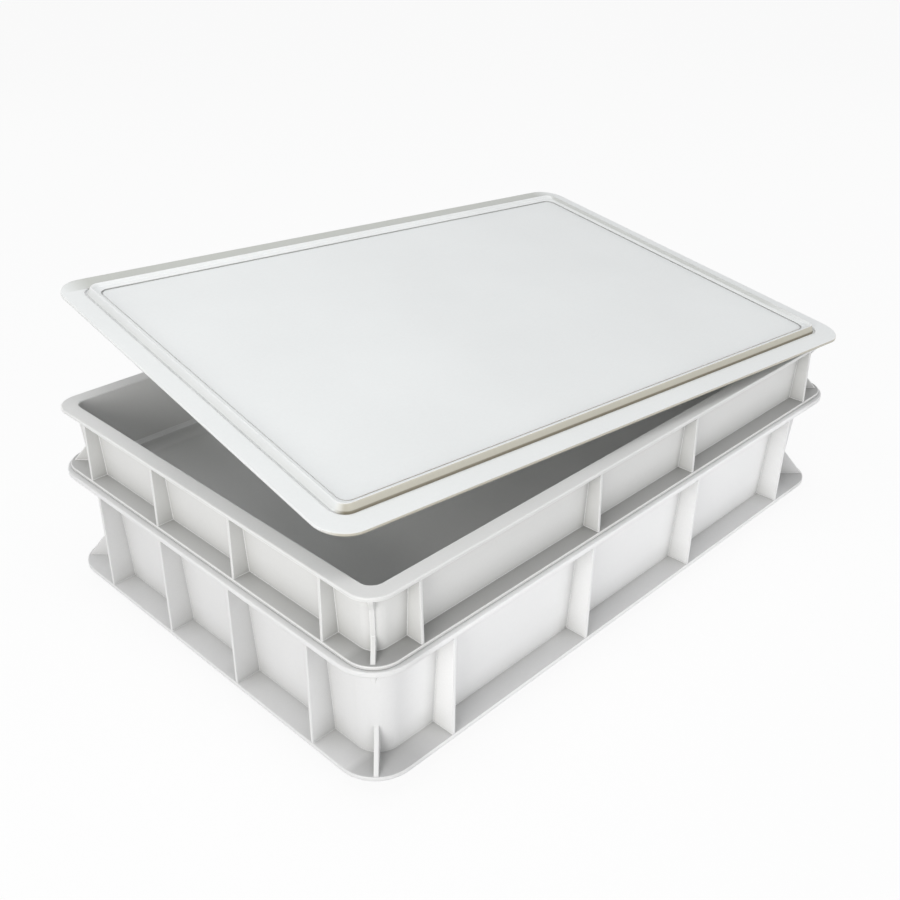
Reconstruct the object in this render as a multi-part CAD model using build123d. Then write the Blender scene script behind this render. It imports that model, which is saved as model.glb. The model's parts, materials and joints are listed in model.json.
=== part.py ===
from build123d import *
from collections import namedtuple
import os

os.makedirs("parts", exist_ok=True)

# Lengths are millimetres, angles are degrees
# The origin is the middle of the lower tub's underside, +X runs along the long side and +Z is up

# A rounded rectangle seen from above
Rect = namedtuple("Rect", "length width corner")
# How far two sets of ribs stand from the middle of their side
Ribs = namedtuple("Ribs", "inner outer")
# Corner plates: how far they reach out along the corner's diagonal, the height of a tab's upright
# outer edge and how tall they are against the wall
Gusset = namedtuple("Gusset", "thick reach tall")
Tab = namedtuple("Tab", "thick reach edge tall")

# The plan that the family of tubs shares, measured over the upper tub's rim
plan_length = 600.0
plan_width = 400.0

# Lower tub, the deep one
lower_height = 110.0
lower_wall = 2.5
lower_floor = 2.6
lower_floor_radius = 7.0
lower_rim_outset = 6.0
lower_rim_wide = 20.0
lower_rim_corner = 33.0
lower_rim_thick = 3.8
lower_mouth_corner = 18.0
lower_end_draft = 2.7
lower_side_draft = 3.8
lower_foot_corner = 20.0
lower_flange_end_inset = 0.7
lower_flange_side_inset = 2.8
lower_flange_corner = 33.0
lower_flange_thick = 3.2
lower_plinth_depth = 11.9
lower_plinth_step = 3.3
lower_rib_thick = 2.6
lower_rib_top_inset = 2.5
lower_rib_foot_inset = 0.9
lower_end_rib_inner = 45.0
lower_end_rib_from_corner = 70.0
lower_side_rib_inner = 73.0
lower_side_rib_from_corner = 79.0
lower_gusset_thick = 3.5
lower_gusset_reach = 24.0
lower_gusset_tall = 29.5
lower_tab_reach = 17.5
lower_tab_edge = 6.0
lower_tab_tall = 17.0

# Upper tub, the shallow one
upper_height = 70.0
upper_wall = 2.3
upper_floor = 2.5
upper_floor_radius = 6.0
upper_rim_wide = 13.3
upper_rim_corner = 20.0
upper_rim_thick = 2.7
upper_mouth_corner = 10.0
upper_end_draft = 0.5
upper_side_draft = 0.4
upper_foot_corner = 12.5
upper_flange_end_outset = 1.2
upper_flange_side_outset = 1.7
upper_flange_corner = 24.0
upper_flange_thick = 2.5
upper_plinth_depth = 13.2
upper_rib_thick = 2.3
upper_rib_top_inset = 0.8
upper_rib_foot_inset = 0.9
upper_end_rib_inner = 50.0
upper_end_rib_from_corner = 50.0
upper_side_rib_inner = 65.0
upper_side_rib_from_corner = 45.0
upper_gusset_thick = 3.2
upper_gusset_reach = 14.0
upper_gusset_tall = 16.5
upper_tab_reach = 10.0
upper_tab_edge = 3.0
upper_tab_tall = 17.0
upper_strip_reach = 1.2

# Eased edges of both tubs
rim_edge_radius = 0.9
mouth_edge_ease = 0.7
flange_edge_ease = 0.5
plinth_edge_ease = 1.2

# How the upper tub nests in the lower one
nest_clearance = 3.0
stack_gap = 0.3

# Lid, seen in section from its outer edge inwards
lid_end_overhang = 2.0
lid_side_overhang = 3.0
lid_corner = 25.0
lid_brim_thick = 2.2
lid_brim_edge_radius = 0.7

# The ridge under the lid that drops into the upper tub's mouth
lid_ridge_clearance = 1.5
lid_ridge_taper = 1.5
lid_ridge_drop = 4.5
lid_ridge_wall = 1.6
lid_ridge_corner = 9.5
lid_ridge_edge_ease = 0.7

# The raised edge on top, with a narrow groove along its foot
lid_riser_in = 3.3
lid_riser_corner = 12.0
lid_riser_height = 5.2
lid_riser_draft = 3.0
lid_riser_wall = 2.4
lid_groove_width = 1.6
lid_groove_depth = 1.3
lid_groove_edge_ease = 0.4
lid_crest_width = 1.3
lid_crest_edge_ease = 0.4

# The dish inside it: a steep face, a gentle land and a fine groove round the flat panel
lid_steep_width = 1.4
lid_land_corner = 8.5
lid_land_outer_height = 2.6
lid_land_width = 3.6
lid_land_foot_corner = 9.0
lid_land_inner_height = 1.5
lid_panel_groove_width = 1.3
lid_panel_groove_depth = 0.8
lid_panel_corner = 8.0
lid_panel_height = 0.8
lid_panel_thick = 2.0

# How the lid sits on the rim, and the slanted line that it is tipped about
lid_rim_gap = 0.3
tip_angle = 9.5
tip_axis_plan_angle = 15.75
tip_axis_dip_angle = 26.2
tip_point_out = 8.9
tip_point_below = 38.7

# Cuts run past the faces that they open by this much
overrun = 1.0


def grown(rect, by):
    """The same rounded rectangle, larger all round"""
    return Rect(rect.length + 2 * by, rect.width + 2 * by, rect.corner + by)


def outset(rect, ends, sides, corner):
    """A rounded rectangle with its ends and its sides moved out, and a corner of its own"""
    return Rect(rect.length + 2 * ends, rect.width + 2 * sides, corner)


def loop(rect, height):
    """A rounded rectangle lying flat at a height"""
    return Pos(0, 0, height) * RectangleRounded(rect.length, rect.width, rect.corner)


def slab(rect, bottom, top):
    """A flat plate between two heights"""
    return extrude(loop(rect, bottom), top - bottom)


def tapered(*levels):
    """A body through rounded rectangles, each given with its height"""
    return loft([loop(rect, height) for rect, height in levels], ruled=True)


def corner_reach(rect):
    """Where a rounded rectangle crosses the diagonal of its corner"""
    along = rect.corner * (1 - 0.5 ** 0.5)
    return Vector(rect.length / 2 - along, rect.width / 2 - along)


def plate(outline, thick):
    """An upright plate in the XZ plane, its thickness shared to both sides"""
    return extrude(Plane.XZ * make_face(Polyline(*outline, close=True)), thick / 2, both=True)


def round_corners(part):
    """Four copies of what stands on one corner"""
    flipped = part.mirror(Plane.YZ)
    return [part, flipped, part.mirror(Plane.XZ), flipped.mirror(Plane.XZ)]


class Tub:
    """One tub, built with its underside at zero height"""

    def __init__(self, height, wall, floor, floor_radius, rim, rim_thick, mouth, foot, flange,
                 flange_thick, plinth, plinth_depth, rib_thick, rib_top_inset, rib_foot_inset,
                 end_ribs, side_ribs, gusset, tab, strip_reach=0):
        self.height = height
        self.wall = wall
        self.floor = floor
        self.floor_radius = floor_radius
        self.rim = rim
        self.rim_bottom = height - rim_thick
        self.rim_thick = rim_thick
        self.mouth = mouth
        self.foot = foot
        self.flange = flange
        self.flange_bottom = plinth_depth
        self.flange_top = plinth_depth + flange_thick
        self.flange_thick = flange_thick
        self.plinth = plinth
        self.rib_thick = rib_thick
        self.rib_top_inset = rib_top_inset
        self.rib_foot_inset = rib_foot_inset
        self.end_ribs = end_ribs
        self.side_ribs = side_ribs
        self.gusset = gusset
        self.tab = tab
        self.strip_reach = strip_reach

    def outside(self):
        """Drafted wall, rim, base flange and the plinth below it, all solid"""
        rim = slab(self.rim, self.rim_bottom, self.height)
        rim = fillet(rim.edges().group_by(Axis.Z)[-1], rim_edge_radius)
        flange = slab(self.flange, self.flange_bottom, self.flange_top)
        flange = chamfer(flange.edges().group_by(Axis.Z)[-1], flange_edge_ease)
        plinth = slab(self.plinth, 0, self.flange_top)
        plinth = chamfer(plinth.edges().group_by(Axis.Z)[0], plinth_edge_ease)
        wall = tapered((self.foot, self.flange_bottom), (grown(self.mouth, self.wall), self.height))
        return wall + rim + flange + plinth

    def inside(self):
        """The space that the tub holds, stepped in where the plinth begins and eased at the mouth"""
        low = grown(self.plinth, -self.wall)
        middle = grown(self.foot, -self.wall)
        eased = grown(self.mouth, mouth_edge_ease)
        space = tapered((low, self.floor), (low, self.flange_bottom), (middle, self.flange_top),
                        (self.mouth, self.height - mouth_edge_ease), (eased, self.height))
        return fillet(space.edges().group_by(Axis.Z)[0], self.floor_radius)

    def rib(self, half_mouth, half_foot, half_rim, half_flange):
        """A full-height rib from rim to base flange, standing out along +X"""
        top = self.rim_bottom + self.rim_thick / 2
        foot = self.flange_top - self.flange_thick / 2
        outline = [
            (half_foot - self.wall / 2, foot),
            (half_flange - self.rib_foot_inset, foot),
            (half_rim - self.rib_top_inset, top),
            (half_mouth + self.wall / 2, top),
        ]
        return plate(outline, self.rib_thick)

    def ribs(self):
        """Four ribs on each side, in mirrored pairs"""
        end = self.rib(self.mouth.length / 2, self.foot.length / 2,
                       self.rim.length / 2, self.flange.length / 2)
        side = self.rib(self.mouth.width / 2, self.foot.width / 2,
                        self.rim.width / 2, self.flange.width / 2)
        made = []
        for place in self.end_ribs:
            made += round_corners(Pos(0, place, 0) * end)
        for place in self.side_ribs:
            made += round_corners(Pos(place, 0, 0) * Rot(0, 0, 90) * side)
        return made

    def corner_plates(self):
        """Upright plates on each corner's diagonal, one on the base flange and one under the rim"""
        root = self.wall / 2
        start = corner_reach(self.foot)
        top = corner_reach(grown(self.mouth, self.wall))
        lean = (top - start).length
        low = self.flange_top - self.flange_thick / 2
        outline = [
            (-root, low),
            (self.gusset.reach, low),
            (self.gusset.reach, self.flange_top),
            (0, self.flange_top + self.gusset.tall),
            (-root, self.flange_top + self.gusset.tall),
        ]
        gusset = Pos(start.X, start.Y, 0) * Rot(0, 0, 45) * plate(outline, self.gusset.thick)
        high = self.rim_bottom + self.rim_thick / 2
        outline = [
            (-root, high),
            (self.tab.reach, high),
            (self.tab.reach, self.rim_bottom - self.tab.edge),
            (-root, self.rim_bottom - self.tab.tall),
        ]
        tab = Pos(top.X, top.Y, 0) * Rot(0, 0, 45) * plate(outline, self.tab.thick)
        made = round_corners(gusset) + round_corners(tab)
        if self.strip_reach:
            outline = [
                (-root, high),
                (self.strip_reach, high),
                (self.strip_reach - lean, low),
                (-root - lean, low),
            ]
            strip = Pos(top.X, top.Y, 0) * Rot(0, 0, 45) * plate(outline, self.tab.thick)
            made += round_corners(strip)
        return made

    def build(self):
        """The whole tub as one moulding"""
        return self.outside() + self.ribs() + self.corner_plates() - self.inside()


def ridge_levels():
    """The tapered ridge's two outlines, at the brim and at its foot"""
    top = outset(upper_mouth, -lid_ridge_clearance, -lid_ridge_clearance, lid_ridge_corner)
    return top, outset(top, -lid_ridge_taper, -lid_ridge_taper, lid_ridge_corner)


def closed_lid():
    """The lid lying level, with the top of its brim at zero height"""
    riser_foot = outset(upper_mouth, -lid_riser_in, -lid_riser_in, lid_riser_corner)
    riser_top = grown(riser_foot, -lid_riser_draft)
    groove = grown(riser_foot, lid_groove_width)
    crest = grown(riser_top, -lid_crest_width)
    land = outset(crest, -lid_steep_width, -lid_steep_width, lid_land_corner)
    land_foot = outset(land, -lid_land_width, -lid_land_width, lid_land_foot_corner)
    panel = outset(land_foot, -lid_panel_groove_width, -lid_panel_groove_width, lid_panel_corner)
    ridge_top, ridge_foot = ridge_levels()
    ridge_bottom = -lid_brim_thick - lid_ridge_drop
    panel_bottom = lid_panel_height - lid_panel_thick
    land_bottom = lid_land_outer_height - lid_panel_thick

    outline = outset(upper_rim, lid_end_overhang, lid_side_overhang, lid_corner)
    brim = slab(outline, -lid_brim_thick, 0)
    brim = fillet(brim.edges().group_by(Axis.Z)[-1], lid_brim_edge_radius)
    ridge = tapered(
        (grown(ridge_foot, -lid_ridge_edge_ease), ridge_bottom),
        (ridge_foot, ridge_bottom + lid_ridge_edge_ease),
        (ridge_top, -lid_brim_thick),
    )
    riser = tapered(
        (riser_foot, -lid_brim_thick),
        (riser_foot, -lid_groove_depth),
        (riser_top, lid_riser_height - lid_crest_edge_ease),
        (grown(riser_top, -lid_crest_edge_ease), lid_riser_height),
    )

    # The groove between the brim and the riser, with the brim's inner edge eased
    body = brim + ridge - tapered(
        (groove, -lid_groove_depth),
        (groove, -lid_groove_edge_ease),
        (grown(groove, lid_groove_edge_ease), 0),
        (grown(groove, lid_groove_edge_ease), overrun),
    )
    body = body + riser

    # The dish inside the crest, and the panel that stands up in it
    body = body - tapered(
        (land_foot, lid_panel_height - lid_panel_groove_depth),
        (land_foot, lid_land_inner_height),
        (land, lid_land_outer_height),
        (crest, lid_riser_height),
        (crest, lid_riser_height + overrun),
    )
    body = body + slab(panel, panel_bottom, lid_panel_height)

    # The underside is hollow inside the ridge and follows the land and the panel
    ridge_inside = grown(ridge_foot, -lid_ridge_wall)
    riser_inside = grown(riser_foot, -lid_riser_wall)
    hollow = slab(ridge_inside, ridge_bottom - overrun, -lid_brim_thick)
    hollow = hollow + slab(riser_inside, ridge_bottom - overrun, land_bottom)
    core = tapered((panel, panel_bottom), (land, land_bottom))
    return body - (hollow - core)


def tipped(part, rim_top):
    """The lid turned from its closed place about the slanted line near the tub's corner"""
    corner = (plan_length / 2, -plan_width / 2 - tip_point_out, rim_top - tip_point_below)
    heading = Vector(1, 0, 0).rotate(Axis.Y, tip_axis_dip_angle).rotate(Axis.Z, tip_axis_plan_angle)
    line = Axis(corner, heading)
    print("lid turns about", line.position, "along", line.direction, "by", tip_angle)
    return part.rotate(line, tip_angle)


# Outlines of the upper tub, whose rim has the shared plan
upper_rim = Rect(plan_length, plan_width, upper_rim_corner)
upper_mouth = outset(upper_rim, -upper_rim_wide, -upper_rim_wide, upper_mouth_corner)
upper_foot = outset(upper_mouth, -upper_end_draft, -upper_side_draft, upper_foot_corner)
upper_flange = outset(upper_rim, upper_flange_end_outset, upper_flange_side_outset,
                      upper_flange_corner)

# Outlines of the lower tub, whose mouth the upper tub's plinth drops into
lower_rim = outset(upper_rim, lower_rim_outset, lower_rim_outset, lower_rim_corner)
lower_mouth = outset(lower_rim, -lower_rim_wide, -lower_rim_wide, lower_mouth_corner)
lower_foot = outset(lower_mouth, -lower_end_draft, -lower_side_draft, lower_foot_corner)
lower_flange = outset(lower_rim, -lower_flange_end_inset, -lower_flange_side_inset,
                      lower_flange_corner)

lower = Tub(
    height=lower_height,
    wall=lower_wall,
    floor=lower_floor,
    floor_radius=lower_floor_radius,
    rim=lower_rim,
    rim_thick=lower_rim_thick,
    mouth=lower_mouth,
    foot=lower_foot,
    flange=lower_flange,
    flange_thick=lower_flange_thick,
    plinth=grown(lower_foot, -lower_plinth_step),
    plinth_depth=lower_plinth_depth,
    rib_thick=lower_rib_thick,
    rib_top_inset=lower_rib_top_inset,
    rib_foot_inset=lower_rib_foot_inset,
    end_ribs=Ribs(lower_end_rib_inner, lower_rim.width / 2 - lower_end_rib_from_corner),
    side_ribs=Ribs(lower_side_rib_inner, lower_rim.length / 2 - lower_side_rib_from_corner),
    gusset=Gusset(lower_gusset_thick, lower_gusset_reach, lower_gusset_tall),
    tab=Tab(lower_gusset_thick, lower_tab_reach, lower_tab_edge, lower_tab_tall),
)

upper = Tub(
    height=upper_height,
    wall=upper_wall,
    floor=upper_floor,
    floor_radius=upper_floor_radius,
    rim=upper_rim,
    rim_thick=upper_rim_thick,
    mouth=upper_mouth,
    foot=upper_foot,
    flange=upper_flange,
    flange_thick=upper_flange_thick,
    plinth=grown(lower_mouth, -nest_clearance),
    plinth_depth=upper_plinth_depth,
    rib_thick=upper_rib_thick,
    rib_top_inset=upper_rib_top_inset,
    rib_foot_inset=upper_rib_foot_inset,
    end_ribs=Ribs(upper_end_rib_inner, upper_rim.width / 2 - upper_end_rib_from_corner),
    side_ribs=Ribs(upper_side_rib_inner, upper_rim.length / 2 - upper_side_rib_from_corner),
    gusset=Gusset(upper_gusset_thick, upper_gusset_reach, upper_gusset_tall),
    tab=Tab(upper_gusset_thick, upper_tab_reach, upper_tab_edge, upper_tab_tall),
    strip_reach=upper_strip_reach,
)

# The upper tub's base flange lies just over the lower tub's rim, and the lid over the upper rim
upper_bottom = lower.height + stack_gap - upper.flange_bottom
upper_rim_top = upper_bottom + upper.height
lid_level = upper_rim_top + lid_rim_gap + lid_brim_thick

lower_tub = lower.build()
upper_tub = Pos(0, 0, upper_bottom) * upper.build()
lid = tipped(Pos(0, 0, lid_level) * closed_lid(), upper_rim_top)

for name, part in {"lower_tub": lower_tub, "upper_tub": upper_tub, "lid": lid}.items():
    export_step(part, f"parts/{name}.step")
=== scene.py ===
"""Looks of a dough proofing container: two stacked ribbed tubs and a loose, tipped lid.

Every length is in metres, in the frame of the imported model.
"""

import json
import math
from collections import namedtuple
from functools import partial

import bpy
from mathutils import Matrix, Vector

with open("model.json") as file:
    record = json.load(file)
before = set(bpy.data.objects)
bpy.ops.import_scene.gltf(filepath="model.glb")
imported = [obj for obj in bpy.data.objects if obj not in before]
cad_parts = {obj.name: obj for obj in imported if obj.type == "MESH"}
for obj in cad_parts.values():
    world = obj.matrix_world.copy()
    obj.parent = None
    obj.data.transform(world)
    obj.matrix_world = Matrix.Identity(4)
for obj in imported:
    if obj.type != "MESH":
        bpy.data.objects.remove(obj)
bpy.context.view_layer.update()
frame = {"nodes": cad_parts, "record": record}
nodes = frame["nodes"]

# Camera at the photograph's viewing angle
CAMERA_PLACE = (-0.6435, -0.6058, 0.5696)
CAMERA_AZIMUTH, CAMERA_ELEVATION, CAMERA_ROLL = -45.59, 28.909, 0.139
IMAGE_SIDE, FOCAL_PIXELS = 900, 1072.81
SENSOR = 36.0
NEAREST, FARTHEST = 0.01, 100

# Colours, as linear red, green and blue
LID_COLOUR = (0.81, 0.825, 0.82)
# Both tubs are one plastic: the lower tub's lighter colour is painted light for the
# brighter light on it
UPPER_COLOUR = (0.72, 0.72, 0.71)
LOWER_COLOUR = (0.90, 0.90, 0.90)
FLOOR_COLOUR = (0.85, 0.85, 0.85)
WORLD_COLOUR = (0.97, 0.98, 1.0)
WHITE = (1.0, 1.0, 1.0)

# Painted highlight on edges, and painted shade deep in corners and creases
EDGE_HIGHLIGHT_COLOUR = (0.97, 0.97, 0.97)
EDGE_RADIUS, EDGE_SAMPLES = 0.0013, 6
EDGE_BEND = (0.88, 0.992)
CORNER_REACH, CREASE_REACH = 0.022, 0.0035
HIDDEN_SAMPLES = 4
HIDDEN_RANGE = (0.25, 0.90)
LID_CORNER_SHADE_TINT = (0.78, 0.78, 0.77)
LID_CREASE_SHADE_TINT = (0.82, 0.82, 0.82)
TUB_CORNER_SHADE_TINT = (0.78, 0.78, 0.77)
TUB_CREASE_SHADE_TINT = (0.80, 0.80, 0.80)

# Painted shade round the lid's raised edge, with a painted highlight on the near panel
# line
FAR_BRIM_SHADE_TINT = (0.66, 0.66, 0.62)
FAR_CREST_SHADE_TINT = (0.72, 0.72, 0.70)
NEAR_FACE_SHADE_TINT = (0.65, 0.61, 0.52)
NEAR_FOOT_SHADE_TINT = (0.45, 0.42, 0.35)
FAR_LINE_SHADE_TINT = (0.62, 0.62, 0.61)
NEAR_LINE_HIGHLIGHT_TINT = (1.35, 1.34, 1.33)
LEFT_FACE_SHADE_TINT = (0.88, 0.88, 0.88)
OUTLINE_SHADE_TINT = (0.50, 0.49, 0.47)

# Where they begin and end, in the lid's own axes, from its middle at the brim's top.
# BRIM_TOP is that level on the closed lid, and STEEP is how far a face has turned.
BRIM_TOP = 0.1696
STEEP = (0.3, 0.75)
FAR_BRIM_ACROSS, FAR_BRIM_ALONG = (0.1828, 0.1840), (0.272, 0.298)
CREST_IN, CREST_OUT = (0.2771, 0.2777), (0.2815, 0.2825)
CREST_NEAR, CREST_FAR = (-0.180, -0.120), (0.170, 0.182)
NEAR_FACE, LEFT_FACE = (-0.160, -0.150), (-0.275, -0.270)
FACE_FOOT, FOOT_LINE = (0.0, 0.0008), (0.0003, 0.0009)
FOOT_LINE_END = (-0.190, -0.188)
LINE_ALONG, LINE_ACROSS = (0.2765, 0.2775), (0.1765, 0.1775)
FAR_LINE_ALONG, FAR_LINE_ACROSS = (0.264, 0.269), (0.166, 0.170)
OUTER_ALONG, OUTER_ACROSS = (0.292, 0.295), (0.192, 0.195)

# Painted shade on the tubs' base flanges, and painted shade that makes the lower tub's
# ends duller
UPPER_LEDGE, LOWER_LEDGE = 0.1128, 0.0151
UPPER_LEDGE_SHADE_TINT = (0.75, 0.75, 0.75)
LOWER_LEDGE_SHADE_TINT = (0.96, 0.96, 0.96)
LONG_SIDE_SHADE_TINT = (0.80, 0.80, 0.80)
LOWER_END_SHADE_TINT = (0.83, 0.83, 0.83)
LEVEL, LEDGE_THICK = (0.8, 0.95), (0.0004, 0.001)
LONG_SIDE_ACROSS, END_ALONG = (-0.178, -0.172), (0.240, 0.262)

# Plastic. A noise is its scale and detail, then any roughness and distortion.
CLOUDS, CLOUD_RANGE, CLOUD_SHADES = (7.0, 4.0), (0.3, 0.7), (0.975, 1.02)
SPECKS, SPECK_RANGE, SPECK_SHADES = (420.0, 2.0), (0.25, 0.75), (0.99, 1.01)
SCUFFS, SCUFF_RANGE, SCUFF_ROUGHNESS = (1.0, 3.0, 0.6, 0.3), (0.58, 0.75), 0.12
SCUFF_STRETCH = (6.0, 240.0, 240.0)
FLOW, FLOW_DEPTH = (26.0, 1.0), 0.0008
GRAIN, GRAIN_DEPTH = (1500.0, 2.0), 0.00006
ROUGHNESS = (0.29, 0.40)
IOR = 1.49

WORLD_STRENGTH = 0.42
FLOOR_GLOW = 0.92
FLOOR_SIDE = 30.0
FLOOR_DROP = 0.0004

# What a painted shade or highlight may follow: the place, the facing, and how much is
# edge or crease
Reading = namedtuple("Reading", "where normal edge crease")


def camera_matrix(azimuth, elevation, roll, place):
    """A camera's matrix from its angles, in degrees, and its place."""
    a, e, r = (math.radians(x) for x in (azimuth, elevation, roll))
    back = Vector((math.sin(a) * math.cos(e), -math.cos(a) * math.cos(e), math.sin(e)))
    level = Vector((math.cos(a), math.sin(a), 0))
    above = back.cross(level)
    right = level * math.cos(r) + above * math.sin(r)
    up = above * math.cos(r) - level * math.sin(r)
    turned = Matrix((right, up, back)).transposed().to_4x4()
    return Matrix.Translation(place) @ turned


def add_camera():
    data = bpy.data.cameras.new("camera")
    data.sensor_width = SENSOR
    data.lens = FOCAL_PIXELS / IMAGE_SIDE * SENSOR
    data.clip_start, data.clip_end = NEAREST, FARTHEST
    camera = bpy.data.objects.new("camera", data)
    bpy.context.scene.collection.objects.link(camera)
    camera.matrix_world = camera_matrix(
        CAMERA_AZIMUTH, CAMERA_ELEVATION, CAMERA_ROLL, CAMERA_PLACE
    )
    bpy.context.scene.camera = camera


class Graph:
    """A node tree and short ways to add to it."""

    def __init__(self, tree):
        self.tree = tree
        tree.nodes.clear()

    def add(self, kind, inputs=(), **settings):
        """A new node. Inputs are (socket, value or other node's socket) pairs."""
        node = self.tree.nodes.new("ShaderNode" + kind)
        for name, value in settings.items():
            setattr(node, name, value)
        for socket, value in inputs:
            if isinstance(value, bpy.types.NodeSocket):
                self.tree.links.new(value, node.inputs[socket])
            elif hasattr(value, "__len__") and node.inputs[socket].type == "RGBA":
                node.inputs[socket].default_value = (*value, 1)
            else:
                node.inputs[socket].default_value = value
        return node

    def maths(self, operation, a, b):
        return self.add("Math", [(0, a), (1, b)], operation=operation).outputs[0]

    def product(self, first, *others):
        """Masks multiplied: what lies in all of them."""
        for other in others:
            first = self.maths("MULTIPLY", first, other)
        return first

    def largest(self, first, *others):
        """What lies in any of some masks."""
        for other in others:
            first = self.maths("MAXIMUM", first, other)
        return first

    def size(self, value):
        return self.maths("ABSOLUTE", value, 0.0)

    def dot(self, a, b):
        node = self.add("VectorMath", [(0, a), (1, b)], operation="DOT_PRODUCT")
        return node.outputs["Value"]

    def noise(self, where, scale, detail, rough=0.5, distortion=0.0):
        """A noise value, about 0.5 on average."""
        node = self.add(
            "TexNoise",
            [
                ("Vector", where),
                ("Scale", scale),
                ("Detail", detail),
                ("Roughness", rough),
                ("Distortion", distortion),
            ],
        )
        return node.outputs["Fac"]

    def spread(self, value, low, high, to_low, to_high):
        """The value, taken from low..high to to_low..to_high and held there."""
        node = self.add(
            "MapRange",
            [
                ("Value", value),
                ("From Min", low),
                ("From Max", high),
                ("To Min", to_low),
                ("To Max", to_high),
            ],
        )
        return node.outputs["Result"]

    def rise(self, value, limits):
        """0 below the limits, 1 above them."""
        return self.spread(value, *limits, 0.0, 1.0)

    def fall(self, value, limits):
        """1 below the limits, 0 above them."""
        return self.spread(value, *limits, 1.0, 0.0)

    def layered(self, colour, layers):
        """The colour under some tints: layers are (how much, tint) pairs."""
        for amount, tint in layers:
            mixed = self.add(
                "Mix",
                [("Factor", amount), (6, colour), (7, tint)],
                data_type="RGBA",
                blend_type="MULTIPLY",
            )
            colour = mixed.outputs[2]
        return colour

    def seen(self):
        """1 for camera, glossy and transmitted rays, which see the white background."""
        path = self.add("LightPath").outputs
        kinds = ("Is Camera Ray", "Is Glossy Ray", "Is Transmission Ray")
        return self.largest(*(path[kind] for kind in kinds))


def make_world():
    world = bpy.data.worlds.new("studio")
    world.use_nodes = True
    bpy.context.scene.world = world
    graph = Graph(world.node_tree)
    light = graph.add(
        "Background", [("Color", WORLD_COLOUR), ("Strength", WORLD_STRENGTH)]
    )
    shown = graph.add("Background", [("Color", WHITE), ("Strength", 1.0)])
    mixed = graph.add(
        "MixShader", [(0, graph.seen()), (1, light.outputs[0]), (2, shown.outputs[0])]
    )
    graph.add("OutputWorld", [("Surface", mixed.outputs[0])])


def make_floor():
    """A plain pale floor that stays white and keeps the object's shadow."""
    half = FLOOR_SIDE / 2
    corners = [(-half, -half), (half, -half), (half, half), (-half, half)]
    mesh = bpy.data.meshes.new("floor")
    mesh.from_pydata([(x, y, -FLOOR_DROP) for x, y in corners], [], [(0, 1, 2, 3)])
    floor = bpy.data.objects.new("floor", mesh)
    bpy.context.scene.collection.objects.link(floor)
    material = bpy.data.materials.new("floor")
    material.use_nodes = True
    graph = Graph(material.node_tree)
    lit = graph.add("BsdfDiffuse", [("Color", FLOOR_COLOUR)])
    glow = graph.add("Emission", [("Color", WHITE), ("Strength", 1.0)])
    share = graph.product(graph.seen(), FLOOR_GLOW)
    mixed = graph.add(
        "MixShader", [(0, share), (1, lit.outputs[0]), (2, glow.outputs[0])]
    )
    graph.add("OutputMaterial", [("Surface", mixed.outputs[0])])
    mesh.materials.append(material)


def add_lamp(name, place, target, size, power, colour):
    """A soft square lamp at a place, turned towards a target."""
    data = bpy.data.lights.new(name, "AREA")
    data.shape = "SQUARE"
    data.size = size
    data.energy = power
    data.color = colour
    lamp = bpy.data.objects.new(name, data)
    bpy.context.scene.collection.objects.link(lamp)
    lamp.location = place
    lamp.rotation_mode = "QUATERNION"
    aim = Vector(target) - Vector(place)
    lamp.rotation_quaternion = aim.to_track_quat("-Z", "Y")


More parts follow.
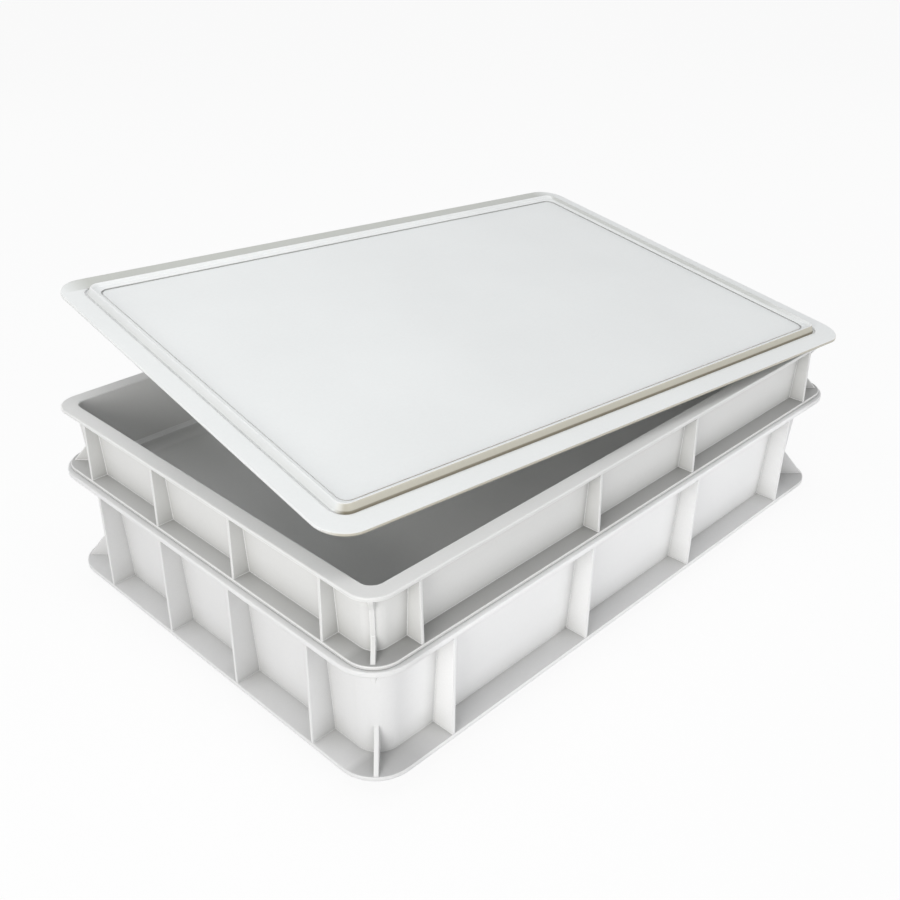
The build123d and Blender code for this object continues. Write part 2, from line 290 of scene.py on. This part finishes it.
def lid_shades(graph, reading):
    """Painted shade and highlight that follow the raised edge, as (how much, tint)
    pairs.

    The far brim, the crest on the right and the far panel line are darker as painted
    shade, the near face is a creamier painted shade with a darker foot, the left face
    is a little darker, the near panel line is paler as a painted highlight, and the
    brim has a thin dark outline of painted shade.
    """
    joints = frame["record"]["behaviour"]["joints"]
    tip = next(joint for joint in joints if joint["name"] == "lid_tip")
    turn = Matrix.Rotation(math.radians(-tip["range_deg"][0]), 3, Vector(tip["axis"]))
    pivot = Vector(tip["pos_m"])
    centre = turn @ (Vector((0, 0, BRIM_TOP)) - pivot) + pivot
    offset = graph.add(
        "VectorMath", [(0, reading.where), (1, centre)], operation="SUBTRACT"
    )
    place = offset.outputs[0]
    along, across, above = (graph.dot(place, axis) for axis in turn.transposed())
    near_facing = graph.dot(reading.normal, turn @ Vector((0, -1, 0)))
    left_facing = graph.dot(reading.normal, turn @ Vector((-1, 0, 0)))
    side_along, side_across = graph.size(along), graph.size(across)

    far_brim = graph.product(
        graph.rise(across, FAR_BRIM_ACROSS), graph.fall(side_along, FAR_BRIM_ALONG)
    )
    right_crest = graph.product(
        graph.rise(along, CREST_IN),
        graph.fall(along, CREST_OUT),
        graph.rise(across, CREST_NEAR),
        graph.fall(across, CREST_FAR),
    )
    near_face = graph.product(
        graph.rise(near_facing, STEEP), graph.fall(across, NEAR_FACE)
    )
    near_foot = graph.product(
        near_face, graph.fall(above, FOOT_LINE), graph.rise(across, FOOT_LINE_END)
    )
    left_face = graph.product(
        graph.rise(left_facing, STEEP),
        graph.fall(along, LEFT_FACE),
        graph.rise(above, FACE_FOOT),
    )
    line = graph.product(
        reading.crease,
        graph.fall(side_along, LINE_ALONG),
        graph.fall(side_across, LINE_ACROSS),
    )
    far = graph.largest(
        graph.rise(across, FAR_LINE_ACROSS), graph.rise(along, FAR_LINE_ALONG)
    )
    far_line = graph.product(line, far)
    near_line = graph.maths("SUBTRACT", line, far_line)
    outer = graph.largest(
        graph.rise(side_along, OUTER_ALONG), graph.rise(side_across, OUTER_ACROSS)
    )
    outline = graph.product(reading.edge, outer)
    # All of these are painted shade, except the near panel line, which is a painted
    # highlight
    return [
        (far_brim, FAR_BRIM_SHADE_TINT),
        (right_crest, FAR_CREST_SHADE_TINT),
        (near_face, NEAR_FACE_SHADE_TINT),
        (near_foot, NEAR_FOOT_SHADE_TINT),
        (left_face, LEFT_FACE_SHADE_TINT),
        (far_line, FAR_LINE_SHADE_TINT),
        (near_line, NEAR_LINE_HIGHLIGHT_TINT),
        (outline, OUTLINE_SHADE_TINT),
    ]


def tub_shades(graph, reading, height, ledge_shade_tint, end_shade_tint):
    """Painted shade on the ledge at a height, more on its near long side, and painted
    shade on the ends.
    """
    along, across, level = graph.add("SeparateXYZ", [(0, reading.where)]).outputs
    upward = graph.add("SeparateXYZ", [(0, reading.normal)]).outputs[2]
    away = graph.size(graph.maths("SUBTRACT", level, height))
    # Painted shade under the rim on the up-facing ledge, darker still on the near long
    # side
    ledge_shade = graph.product(graph.rise(upward, LEVEL), graph.fall(away, LEDGE_THICK))
    long_side = graph.product(ledge_shade, graph.fall(across, LONG_SIDE_ACROSS))
    end = graph.rise(graph.size(along), END_ALONG)
    return [(ledge_shade, ledge_shade_tint), (long_side, LONG_SIDE_SHADE_TINT), (end, end_shade_tint)]


def plastic(name, colour, corner_shade_tint, crease_shade_tint, shades, grain, waves):
    """Injection-moulded plastic, with painted shade and painted highlights that follow
    its piece.

    It has an even colour with faint clouds, edges made paler as a painted highlight,
    corners and creases darkened as painted shade, a fine grain, long shallow flow
    waves, and scuffs in its gloss.
    """
    material = bpy.data.materials.new(name)
    material.use_nodes = True
    graph = Graph(material.node_tree)
    spot = graph.add("TexCoord").outputs
    where = spot["Object"]

    # Colour
    clouds = graph.noise(where, *CLOUDS)
    specks = graph.noise(where, *SPECKS)
    shade = graph.spread(clouds, *CLOUD_RANGE, *CLOUD_SHADES)
    fleck = graph.spread(specks, *SPECK_RANGE, *SPECK_SHADES)
    level = graph.product(shade, fleck)
    plain = graph.add("VectorMath", [(0, colour), ("Scale", level)], operation="SCALE")
    # Painted shade: corners and creases that see little of the sky are darkened
    hidden = []
    for reach in (CORNER_REACH, CREASE_REACH):
        sky = graph.add(
            "AmbientOcclusion", [("Distance", reach)], samples=HIDDEN_SAMPLES
        )
        hidden.append(graph.fall(sky.outputs["AO"], HIDDEN_RANGE))
    corner, crease = hidden
    layers = [(corner, corner_shade_tint), (crease, crease_shade_tint)]
    tinted = graph.layered(plain.outputs[0], layers)
    # Painted highlight: edges, where the rounded normal bends away from the flat one,
    # are made paler
    rounded = graph.add("Bevel", [("Radius", EDGE_RADIUS)], samples=EDGE_SAMPLES)
    flat = graph.add("NewGeometry").outputs["Normal"]
    edge = graph.fall(graph.dot(rounded.outputs[0], flat), EDGE_BEND)
    highlighted = graph.add(
        "Mix", [("Factor", edge), (6, tinted), (7, EDGE_HIGHLIGHT_COLOUR)], data_type="RGBA"
    )
    reading = Reading(where, spot["Normal"], edge, crease)
    final = graph.layered(highlighted.outputs[2], shades(graph, reading))

    # Gloss
    stretched = graph.add("Mapping", [("Vector", where), ("Scale", SCUFF_STRETCH)])
    scuffs = graph.noise(stretched.outputs[0], *SCUFFS)
    worn = graph.spread(scuffs, *SCUFF_RANGE, 0.0, SCUFF_ROUGHNESS)
    smooth = graph.spread(clouds, *CLOUD_RANGE, *ROUGHNESS)
    rough = graph.maths("ADD", smooth, worn)

    # Relief
    normal = rounded.outputs[0]
    reliefs = ((FLOW, waves, FLOW_DEPTH), (GRAIN, grain, GRAIN_DEPTH))
    for pattern, strength, depth in reliefs:
        bump = graph.add(
            "Bump",
            [
                ("Strength", strength),
                ("Distance", depth),
                ("Height", graph.noise(where, *pattern)),
                ("Normal", normal),
            ],
        )
        normal = bump.outputs[0]

    surface = graph.add(
        "BsdfPrincipled",
        [("Base Color", final), ("Roughness", rough), ("IOR", IOR), ("Normal", normal)],
    )
    graph.add("OutputMaterial", [("Surface", surface.outputs[0])])
    return material


def dress(node, material):
    """The node's whole surface takes the material."""
    slots = nodes[node].material_slots
    for slot in slots:
        slot.material = material
    if not slots:
        nodes[node].data.materials.append(material)


add_camera()
make_world()
make_floor()

# Lamps: name, place, target, size, watts and colour
lamps = (
    ("key", (-2.0, -0.75, 0.8), (0, 0, 0.12), 1.0, 21.5, (1.0, 0.99, 0.97)),
    ("top", (0.1, 0.1, 2.1), (0, 0, 0.1), 0.8, 8.2, (0.98, 0.99, 1.0)),
    ("left", (-0.5, 0.05, 1.0), (-0.3, 0, 0.15), 0.4, 1.3, WHITE),
    ("fill", (0.5, -2.2, 0.7), (0, 0, 0.08), 1.4, 13.2, WHITE),
    ("right", (2.5, -0.4, 0.5), (0, 0, 0.1), 1.2, 5.5, WHITE),
    ("rear", (-0.4, 2.4, 0.5), (0, 0, 0.1), 1.2, 5.5, WHITE),
)
for lamp in lamps:
    add_lamp(*lamp)

lid_plastic = plastic(
    "lid_plastic",
    LID_COLOUR,
    LID_CORNER_SHADE_TINT,
    LID_CREASE_SHADE_TINT,
    lid_shades,
    grain=0.25,
    waves=0.05,
)
dress("lid", lid_plastic)

# Tubs: node, colour, height and painted shade tint of the ledge, and painted shade tint
# of the ends
tubs = (
    ("upper_tub", UPPER_COLOUR, UPPER_LEDGE, UPPER_LEDGE_SHADE_TINT, WHITE),
    ("lower_tub", LOWER_COLOUR, LOWER_LEDGE, LOWER_LEDGE_SHADE_TINT, LOWER_END_SHADE_TINT),
)
for node, colour, height, ledge_shade_tint, end_shade_tint in tubs:
    tub_plastic = plastic(
        node + "_plastic",
        colour,
        TUB_CORNER_SHADE_TINT,
        TUB_CREASE_SHADE_TINT,
        partial(tub_shades, height=height, ledge_shade_tint=ledge_shade_tint, end_shade_tint=end_shade_tint),
        grain=0.35,
        waves=0.06,
    )
    dress(node, tub_plastic)

bpy.context.scene.view_settings.view_transform = "Standard"
